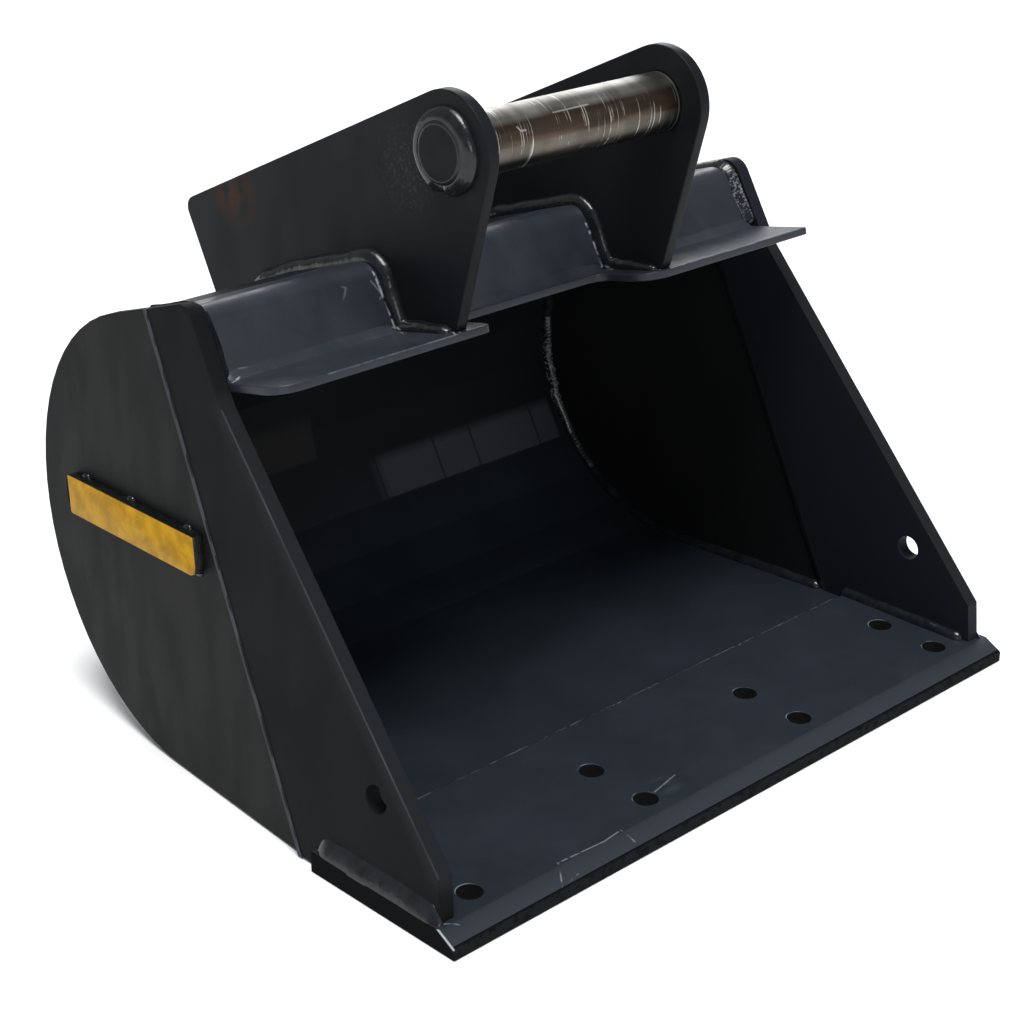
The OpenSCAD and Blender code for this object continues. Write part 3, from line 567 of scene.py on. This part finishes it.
# %% Shine of the pin: dull paint on its two end faces, glossy paint on their rims, bare metal between
bare = maths(tree, "SUBTRACT", 1.0, painted)
tree.links.new(bare, shader.inputs["Metallic"])
radial = vectors(tree, "LENGTH", vectors(tree, "MULTIPLY", round_pin, (0, 1, 1)))
shine = maths(tree, "MAXIMUM", bare, maths(tree, "GREATER_THAN", radial, RIM_FROM))
tree.links.new(ramp(tree, shine, 0.0, 1.0, to=(0.10, 0.5)), shader.inputs["Specular IOR Level"])
tree.links.new(ramp(tree, streaks, 0.0, 1.0, to=(0.34, 0.44)), shader.inputs["Roughness"])
scored = add(tree, "ShaderNodeBump", {"Height": thin, "Distance": 0.0002, "Strength": 0.3})
tree.links.new(scored.outputs[0], shader.inputs["Normal"])
print("pin steel nodes:", len(tree.nodes))

# %% [markdown]
# ## Softened plate edges
# Plates cut by plasma and knocked with a grinder have no razor edges: a radius of about a millimetre catches a thin
# line of light along each one. The CAD mesh itself stays as it is. A Weld modifier joins its loose triangles, a
# Decimate modifier dissolves the lines inside each flat face, a Bevel modifier rounds every edge that is sharper than
# 35 degrees, and Weighted Normal keeps the flat faces flat to the eye.

# %% Bevel every plate
def soften(name, radius_mm, material, sharp=35):
    """The modifiers that round a plate's edges; sharp is the least angle, in degrees, that counts as an edge."""
    plate = cad[name]
    plate.data.materials.clear()
    plate.data.materials.append(material)
    joined = plate.modifiers.new("join the triangles", "WELD")
    joined.merge_threshold = 0.00001
    whole = plate.modifiers.new("whole faces", "DECIMATE")
    whole.decimate_type, whole.angle_limit = "DISSOLVE", math.radians(0.5)
    rounded = plate.modifiers.new("soft edges", "BEVEL")
    rounded.width, rounded.segments = radius_mm * MM, 2
    rounded.limit_method, rounded.angle_limit = "ANGLE", math.radians(sharp)
    rounded.use_clamp_overlap = True
    even = plate.modifiers.new("even shading", "WEIGHTED_NORMAL")
    even.weight = 90
    bpy.context.view_layer.objects.active = plate
    plate.select_set(True)
    bpy.ops.object.shade_smooth()
    plate.select_set(False)


PLATES = {
    "cutting_edge": (1.0, edge_paint), "wrapper": (2.5, wrapper_paint), "top_beam": (0.8, beam_paint),
    "top_flange": (0.8, beam_paint), "torque_plate": (0.6, paint),
    "left_side_sheet": (0.7, side_paint), "right_side_sheet": (0.7, side_paint),
    "left_side_cutter": (1.0, cutter_paint), "right_side_cutter": (1.0, cutter_paint),
    "left_ear": (1.2, ear_paint), "right_ear": (1.2, ear_paint), "rear_lock_bar": (1.2, ear_paint),
    "left_wear_strip": (0.8, paint), "middle_wear_strip": (0.8, paint), "right_wear_strip": (0.8, paint)}
for name, (radius, coat) in PLATES.items():
    soften(name, radius, coat, sharp=8 if "wrapper" in name or "strip" in name else 35)
soften("coupler_pin", 3.0, pin_steel)
print("softened", len(PLATES) + 1, "nodes")

# %% [markdown]
# ## Weld beads
# A fillet weld is a row of frozen ripples, each a small crescent, about 3 mm apart for a hand-held torch. Both legs
# wander a little, and a bead starts and ends round. No operator draws that, so a flat grid is added with one row for
# each ripple step, and its points are then set on the bead by numbers. The two long edges of the grid meet behind the
# bead and are merged, which closes it.

# %% One bead along any corner
ARC, RING_STEP, SINK = 8, 0.8, 0.35


def wandering(s, seed):
    """Three slow random walks along the bead: one for each leg, one for the ripples."""
    return np.array([[noise.noise(Vector((d / 17, seed + 3.1 * k, 0.5))) + 0.15 * noise.noise(Vector((d / 5, seed, k)))
                      for k in range(3)] for d in s])


def lay_bead(name, corner, side_a, side_b, period=3.4, ripple=0.06, lumps=0.14, crown=1.15, seed=0.0, fade=1.2):
    """A rippled bead in the corner. side_a and side_b reach from the corner to the two toes, in millimetres."""
    corner, side_a, side_b = (np.array(v, float) for v in (corner, side_a, side_b))
    reached = np.r_[0, np.cumsum(np.linalg.norm(np.diff(corner, axis=0), axis=1))]
    total = reached[-1]
    rings = max(int(total / RING_STEP), 8)
    s = np.linspace(0, total, rings + 1)
    c, a, b = (np.stack([np.interp(s, reached, v[:, k]) for k in range(3)], 1) for v in (corner, side_a, side_b))
    wander = wandering(s, seed)
    leg = float(np.mean(np.linalg.norm(side_a, axis=1)))
    ends = np.clip(np.minimum(s, total - s) / (leg * fade), 0, 1)
    swell = np.sqrt(np.clip(1 - (1 - ends) ** 2, 0, 1))[:, None]
    a, b = a * swell * (1 + lumps * wander[:, :1]), b * swell * (1 + lumps * wander[:, 1:2])
    out = a + b
    out /= np.maximum(np.linalg.norm(out, axis=1, keepdims=True), 1e-6)
    columns = []
    for k in range(ARC + 1):
        t = k / ARC
        wave = np.abs(np.sin(math.pi * (s / period + 0.55 * (1 - (2 * t - 1) ** 2) + 0.6 * wander[:, 2])))
        lift = ripple * (wave[:, None] ** 0.7 - 0.4) * math.sin(math.pi * t) ** 0.5 * swell
        toe_a, toe_b = math.cos(math.pi * t / 2) ** crown, math.sin(math.pi * t / 2) ** crown
        columns.append(c + a * toe_a + b * toe_b + out * lift)
    sink = swell * SINK
    columns += [c + b - a / leg * sink, c - out * sink, c + a - b / leg * sink]
    columns.append(columns[0])
    spots = place(np.stack(columns, 1))
    bpy.ops.mesh.primitive_grid_add(x_subdivisions=rings, y_subdivisions=len(columns) - 1, size=1)
    bead = bpy.context.object
    bead.name = bead.data.name = name
    flat = np.array([v.co[:2] for v in bead.data.vertices]) + 0.5
    row, column = (flat * [rings, len(columns) - 1]).round().astype(int).T
    bead.data.vertices.foreach_set("co", spots[row, column].ravel())
    bead.data.update()
    bpy.ops.object.mode_set(mode="EDIT")
    bpy.ops.mesh.select_all(action="SELECT")
    bpy.ops.mesh.remove_doubles(threshold=0.000004)
    bpy.ops.mesh.normals_make_consistent(inside=False)
    bpy.ops.object.mode_set(mode="OBJECT")
    bpy.ops.object.shade_smooth_by_angle(angle=math.radians(60))
    bead.select_set(False)
    bead.data.materials.append(bead_paint)
    return bead


def mirrored(piece, name):
    """The left-hand twin of a right-hand bead, with its own mesh."""
    twin = piece.copy()
    twin.data = piece.data.copy()
    twin.name = twin.data.name = name
    bpy.context.scene.collection.objects.link(twin)
    spots = np.empty(len(twin.data.vertices) * 3)
    twin.data.vertices.foreach_get("co", spots)
    twin.data.vertices.foreach_set("co", (spots.reshape(-1, 3) * [-1, 1, 1]).ravel())
    twin.data.flip_normals()
    return twin


def one_piece(pieces, name):
    """Several beads joined into one object."""
    bpy.ops.object.select_all(action="DESELECT")
    for piece in pieces:
        piece.select_set(True)
    bpy.context.view_layer.objects.active = pieces[0]
    bpy.ops.object.join()
    joined = bpy.context.object
    joined.name = joined.data.name = name
    joined.select_set(False)
    return joined


def hand_in(piece, node=None):
    """The piece rides with the bucket, and stands for its CAD node if there is one."""
    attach(piece, "root")
    if node:
        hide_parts(node)


def both_sides(kind, corner, side_a, side_b, **words):
    """A bead on the right, its mirror image on the left, and both handed in for their CAD nodes."""
    right = lay_bead("bead_right_" + kind, corner, side_a, side_b, seed=len(kind) * 1.7, **words)
    left = mirrored(right, "bead_left_" + kind)
    hand_in(right, "right_" + kind + "_weld")
    hand_in(left, "left_" + kind + "_weld")


# %% [markdown]
# ## Beads that hold the shell
# The wrapper sits between the two rear sheets, so it is welded from inside all round, and from outside under the small
# overhang of the sheets. The floor has one more seam, where the wrapper meets the back of the cutting edge.

# %% Inside and outside of the shell
WELD, EDGE_WELD = 6.0, 4.0


def joint_at(height):
    """Where a bead behind the joint starts, at a height."""
    return (JOINT_FOOT + JOINT_UP * (height - JOINT_FOOT[1]) / JOINT_UP[1])[0] + 4


start = joint_at(FLOOR_TOP)
path = [np.array([start, FLOOR_TOP])] + [bend_point(WRAP_IN_R, k) for k in range(10)]
inner = [np.array([start, FLOOR_TOP + WELD])] + [bend_point(WRAP_IN_R - WELD, k) for k in range(10)]
corner = [on_sheet(p, SHEET_IN) for p in path]
both_sides("shell_inner", corner, [on_sheet(q, SHEET_IN) - c for q, c in zip(inner, corner)],
           [[-WELD, 0, 0]] * len(path), ripple=0.12, lumps=0.16)

start = joint_at(FLOOR_UNDER)
path = [np.array([start, FLOOR_UNDER])] + [bend_point(WRAP_R, k) for k in range(BENDS + 1)]
outer = [np.array([start, FLOOR_UNDER - EDGE_WELD])] + [bend_point(WRAP_R + EDGE_WELD, k) for k in range(BENDS + 1)]
corner = [on_sheet(p, SHEET_IN) for p in path]
both_sides("shell_outer", corner, [on_sheet(q, SHEET_IN) - c for q, c in zip(outer, corner)],
           [[-EDGE_WELD, 0, 0]] * len(path))
print("rows along the outer bead:", len(path))

# %% Floor seam between the wrapper and the cutting edge
end_x = cutter_x([150, LIP_T], CUTTER_T) - 1
seam = lay_bead("bead_floor_seam", [[-end_x, LIP_L, 5.3], [end_x, LIP_L, 5.3]], [[0, 0.4, 10.2]] * 2,
                [[0, 6.4, 5.2]] * 2, crown=1.9, ripple=0.15, lumps=0.05, seed=4.2)
seam.data.materials[0] = seam_paint
hand_in(seam, "floor_seam_weld")
print("floor seam is", round(2 * end_x, 1), "mm long")

# %% [markdown]
# ## Beads at the cutting edge and the beam
# Outside, a wide bead lies on the strip of cutting edge that stands out beside each cutter. Inside, a smaller one runs
# in the corner. The beam's ends and the foot of its face are welded to the cutters and to the flange.

# %% Cutting edge, outside and inside
plan = [(143, 12, 6.0), (60, 13, 6.1), (26, 11, 6.1), (17, 5, 6.1)]
both_sides("lip_outer", [on_cutter([y, LIP_T], 0) for y, high, wide in plan],
           [[-0.037 * high, 0, high] for y, high, wide in plan], [[wide, 0, -0.4] for y, high, wide in plan],
           ripple=0.02, lumps=0.05, crown=1.7)
ends = [25.0, LIP_L + 4]
both_sides("lip_inner", [on_cutter([y, LIP_T], CUTTER_T) for y in ends], [[-0.2, 0, WELD]] * 2, [[-WELD, 0, 0]] * 2)
print("inner bead at the lip is", ends[1] - ends[0], "mm long")

# %% Ends of the beam
def over_beam(away):
    """The bend of the beam, from its crown to its face, at a distance outside its surface."""
    return [BEAM_BEND + (BEAM_R + away) * turn(72 + k * (151 - 72) / 6) for k in range(7)]


path = [WRAP_SEAM + CROWN_BACK * 8] + over_beam(0) + [ROOT]
outer = [WRAP_SEAM + CROWN_BACK * 8 + CROWN_UP * 5] + over_beam(5) + [ROOT - FACE_IN * 5]
corner = [on_cutter(p, CUTTER_T) for p in path]
both_sides("beam", corner, [on_cutter(q, CUTTER_T) - c for q, c in zip(outer, corner)], [[-8, 0, 0]] * len(path),
           ripple=0.35, lumps=0.15, period=2.8, crown=1.7)
print("beam bead goes through", len(path), "points")

# %% Foot of the beam face, in three runs beside and between the ears
EAR_IN, EAR_OUT = 100.0, 110.0
end_x = cutter_x(ROOT, CUTTER_T) - 3
runs = [(-end_x, -EAR_OUT - 7), (-EAR_IN + 7, EAR_IN - 7), (EAR_OUT + 7, end_x)]
beads = [lay_bead("run", [[x, *ROOT] for x in run], [[0, *(FACE_UP * WELD)]] * 2, [[0, *(FLANGE_OUT * WELD)]] * 2,
                  crown=2.3, ripple=0.03, seed=run[0]) for run in runs]
root_bead = one_piece(beads, "bead_flange_root")
root_bead.data.materials[0] = beam_paint
hand_in(root_bead, "flange_root_welds")
print("runs at the foot:", [(round(a), round(b)) for a, b in runs])

# %% [markdown]
# ## Beads round the ears, the pin and the lock bar
# Each ear stands on the beam and the shell. A heavy bead runs round its foot on both sides, up over the bend of the
# beam. The pin is welded into the ears with one ring on the outside of each.

# %% Ears
foot = ROOT + FLANGE_OUT * 53
face_foot = meet(ROOT - FACE_IN * 8, FACE_UP, ROOT + FLANGE_UP * 8, FLANGE_OUT)


def ear_path(first_bend, x, side, width, leg=8.5):
    """Corner and two legs of a bead from the shell over the beam to the flange, on one face of the ear."""
    path = [bend_point(WRAP_R, k) for k in range(first_bend, BENDS + 1)] + over_beam(0) + [ROOT, foot]
    outer = [bend_point(WRAP_R + leg, k) for k in range(first_bend, BENDS + 1)] + over_beam(leg)
    outer += [face_foot, foot + FLANGE_UP * 5]
    corner = [np.array([x, *p]) for p in path]
    return corner, [np.array([x, *q]) - c for q, c in zip(outer, corner)], [[side * width, 0, 0]] * len(path)


both_sides("ear_outer", *ear_path(10, EAR_OUT, 1, 7.5), crown=1.0, lumps=0.20, period=4.2)
both_sides("ear_inner", *ear_path(11, EAR_IN, -1, 5.5), crown=1.0, lumps=0.20, period=4.2)
print("ears stand from x", EAR_IN, "to", EAR_OUT)

# %% Rings round the pin
angles = np.radians(np.linspace(-90, 276, 62))
ring = [np.array([EAR_OUT, PIN[1] + PIN_R * math.cos(a), PIN[2] + PIN_R * math.sin(a)]) for a in angles]
outward = [[0, 9 * math.cos(a), 9 * math.sin(a)] for a in angles]
both_sides("pin", ring, outward, [[6.9, 0, 0]] * len(ring), ripple=0.05, lumps=0.10, crown=1.0, period=9.0)
print("pin ring turns through", round(math.degrees(angles[-1] - angles[0])), "degrees")

# %% Lock bar
REAR_DOWN, LOCK_BACK = turn(243), turn(-27)
EAR_TAIL, LOCK_TOP_GAP, LOCK_FRONT = np.array([517.5, 360.0]), 8, 37
lock_front = EAR_TAIL + REAR_DOWN * LOCK_TOP_GAP - LOCK_BACK * LOCK_FRONT
ends = [lock_front + REAR_DOWN * 6, lock_front + REAR_DOWN * 54]
bar = lay_bead("run", [[EAR_IN, *p] for p in ends], [[-WELD, 0, 0]] * 2, [[0, *(-LOCK_BACK * WELD)]] * 2, seed=9.3)
hand_in(one_piece([bar, mirrored(bar, "run")], "bead_lock_bar"), "lock_bar_welds")

# %% [markdown]
# ## The joint behind each side cutter
# The 12 mm cutter and the thinner rear sheet meet in a butt joint that is welded through. Outside, the bead lies in
# the small step between the two plates and shows as one thin lighter line; inside it is nearly flush.

# %% Butt welds, made as a bead outside and a bead inside
def joint_bead(name, inset, out, first_mm, last_mm, width, seed):
    """A low bead along the joint: out is +1 outside and -1 inside."""
    rows = [JOINT_FOOT + JOINT_UP * d for d in np.linspace(first_mm, last_mm, 12)]
    corner = [on_cutter(p, inset) - [out * 0.3, 0, 0] for p in rows]
    back = [[0.0, *(JOINT_BACK * width)]] * len(rows)
    up = [[out * 1.2, *(-JOINT_BACK * 0.8)]] * len(rows)
    return lay_bead(name, corner, up, back, ripple=0.10, lumps=0.25, seed=seed, crown=1.2)


runs = [joint_bead("run", 0.4, 1, 4, 180, 3.4, 2.0), joint_bead("run", 0.4, 1, 196, 379, 3.4, 5.0),
        joint_bead("run", 12.2, -1, 12, 330, 4.0, 8.0)]
right_joint = one_piece(runs, "bead_right_joint")
right_joint.data.materials[0] = side_paint
hand_in(right_joint)
hand_in(mirrored(right_joint, "bead_left_joint"))
for name in ("left_joint_weld", "right_joint_weld"):
    cad[name].data.materials.clear()
    cad[name].data.materials.append(paint)
print("joint bead has", len(right_joint.data.vertices), "points")

# %% [markdown]
# ## The small plate on the side
# A bar of flat steel, 181 by 30.5 mm and 8.5 mm thick, is tacked onto the left rear sheet. Its face is plain yellow
# enamel, and its sides went black with the bucket. It starts as a cube, is stretched to its size, gets its two rear
# corners rounded and its front top corner cut back, and is then laid on the turned sheet.

# %% Two enamels for it
yellow, tree, shader, spot = new_material("yellow enamel on flat steel", 0.42, ior=1.3)
base = blend(tree, fleck(tree, spot, 14, 4.0, 0.38, 0.64), colour("#a1760a"), colour("#be900e"))
dirt = product(tree, fleck(tree, spot, 5, 5.0, 0.56, 0.72, stretch=(1, 0.25, 1)), 0.4)
finish_colour(tree, shader, blend(tree, dirt, base, colour("#86670f")))
shader.inputs["Specular IOR Level"].default_value = 0.2
peel_and_waves(tree, shader, spot, peel_mm=1.6, peel=0.22, waves=0.1)
black_side, tree, shader, spot = new_material("black enamel on a sawn edge", 0.28)
base = blend(tree, fleck(tree, spot, 4, 4.0, 0.52, 0.66), colour("#0b0c0b"), colour("#1d1e19"))
finish_colour(tree, shader, base)
peel_and_waves(tree, shader, spot, peel_mm=1.1, peel=0.5, waves=0.2)
print("plate materials:", yellow.name, "|", black_side.name)

# %% Shape the plate flat
PLATE_L, PLATE_H, PLATE_T = 181.0, 30.5, 8.5
bpy.ops.mesh.primitive_cube_add(size=1, scale=(PLATE_L * MM, PLATE_H * MM, PLATE_T * MM))
plate = bpy.context.object
plate.name = plate.data.name = "side_plate"
bpy.ops.object.transform_apply(location=False, rotation=False, scale=True)


def select_edges(obj, test):
    """Edit mode on obj, with the edges selected whose two ends pass the test."""
    bpy.ops.object.mode_set(mode="OBJECT")
    for part in (obj.data.polygons, obj.data.vertices, obj.data.edges):
        part.foreach_set("select", [False] * len(part))
    picked = 0
    for edge in obj.data.edges:
        a, b = (obj.data.vertices[i].co for i in edge.vertices)
        edge.select = test(a, b)
        picked += edge.select
    bpy.ops.object.mode_set(mode="EDIT")
    bpy.ops.mesh.select_mode(type="EDGE")
    return picked


def is_upright(a, b):
    return abs(a.z - b.z) > 0.003 and abs(a.x - b.x) < 0.001


upright = select_edges(plate, lambda a, b: is_upright(a, b) and a.x > 0)
bpy.ops.mesh.bevel(offset=7.0 * MM, segments=6, affect="EDGES")
cut = select_edges(plate, lambda a, b: is_upright(a, b) and a.x < -0.08 and a.y > 0)
bpy.ops.mesh.bevel(offset=7.0 * MM, segments=2, affect="EDGES")
rim = select_edges(plate, lambda a, b: a.z > 0.003 and b.z > 0.003)
bpy.ops.mesh.bevel(offset=0.8 * MM, segments=2, affect="EDGES")
bpy.ops.object.mode_set(mode="OBJECT")
print("rounded corners:", upright, "cut corner:", cut, "edges round the face:", rim)

# %% Lay the plate on the left sheet
PLATE_MIDDLE, PLATE_TILT, SEAT = np.array([360.8, 185.9]), math.radians(3.1), 0.05
foot = on_sheet(PLATE_MIDDLE, SHEET_OUT) * [-1, 1, 1]
normal = unit(REAR_N * [-1, 1, 1])
lengthwise = np.array([0, math.cos(PLATE_TILT), -math.sin(PLATE_TILT)])
along = unit(lengthwise - normal * (normal @ lengthwise))
up = np.cross(normal, along)
pose = Matrix(np.column_stack([along, up, normal]).tolist()).to_4x4()
pose.translation = Vector(place(foot + normal * (PLATE_T / 2 - SEAT)))
plate.matrix_world = pose
bpy.ops.object.transform_apply(location=True, rotation=True, scale=True)
plate.data.materials.append(black_side)
plate.data.materials.append(yellow)
for face in plate.data.polygons:
    face.material_index = int(face.normal.dot(Vector(normal)) > 0.6)
bpy.ops.object.shade_smooth_by_angle(angle=math.radians(40))
hand_in(plate)
print("plate middle:", [round(v, 3) for v in pose.translation])

# %% Tack welds round the plate
plate.select_set(False)
tacks = []
for u, v in ((-82, 1), (-8, 1), (22, 1), (72, 1), (-72, -1), (5, -1), (70, -1)):
    rim_mid = foot + along * u + up * v * PLATE_H / 2
    ends = [rim_mid - along * 4.5, rim_mid + along * 4.5]
    tacks.append(lay_bead("tack", ends, [normal * 3.2] * 2, [up * v * 3.0] * 2, seed=u, lumps=0.35, fade=1.3))
hand_in(one_piece(tacks, "bead_side_plate_tacks"))
print("tacks:", len(tacks))

# %% [markdown]
# ## Floor and light
# The bucket stands on a plain pale floor in a white studio. Black satin paint shows little of its own colour: what the
# eye sees is the studio reflected in it, so large soft lamps shape each plate.

# %% Floor
bpy.ops.mesh.primitive_plane_add(size=40, location=(0, 0, -0.0005))
floor = bpy.context.object
floor.name = "floor"
bpy.ops.object.transform_apply(location=True, rotation=False, scale=True)
studio, tree, shader, spot = new_material("matt white studio floor", 0.9)
finish_colour(tree, shader, blend(tree, fleck(tree, spot, 900, 1.0), colour("#f3f3f3"), colour("#f7f7f7")))
floor.data.materials.append(studio)
floor.select_set(False)
print("floor:", [round(v, 1) for v in floor.dimensions], "m")

# %% Surroundings
world = bpy.data.worlds.new("white studio")
bpy.context.scene.world = world
world.use_nodes = True
background = world.node_tree.nodes["Background"]
background.inputs["Color"].default_value = colour("#eef1f6")
background.inputs["Strength"].default_value = 0.30
print("studio walls:", world.name)

# %% Lamps
def soft_lamp(name, where, aim_at, size, watts):
    """A white rectangular window of light, turned to its aim."""
    data = bpy.data.lights.new(name, "AREA")
    data.shape, data.size, data.size_y, data.energy = "RECTANGLE", size[0], size[1], watts
    lamp = bpy.data.objects.new(name, data)
    bpy.context.scene.collection.objects.link(lamp)
    lamp.location = where
    lamp.rotation_euler = (Vector(aim_at) - Vector(where)).to_track_quat("-Z", "Y").to_euler()


sky = bpy.data.lights.new("soft sky over the studio", "SUN")
sky.energy, sky.angle = 2.9, math.radians(27)
sky_lamp = bpy.data.objects.new("soft sky over the studio", sky)
bpy.context.scene.collection.objects.link(sky_lamp)
sky_lamp.rotation_euler = (math.radians(11), math.radians(-10), 0)
soft_lamp("overhead", (-0.3, 0.1, 2.4), (0, 0, 0.2), (1.2, 1.2), 14)
soft_lamp("window to the front right", (0.9, -3.0, 1.75), (0, 0.1, 0.2), (0.8, 0.8), 12)
soft_lamp("window high at the back right", (1.9, 1.4, 2.2), (0, 0, 0.45), (0.8, 0.8), 2)
soft_lamp("window at the back", (1.74, 1.71, 1.31), (0, 0, 0.35), (1.4, 0.9), 18)
soft_lamp("fill from the front left", (-2.2, -2.6, 1.2), (0.1, 0, 0.2), (1.2, 1.2), 13)
bpy.context.scene.view_settings.view_transform = "Standard"
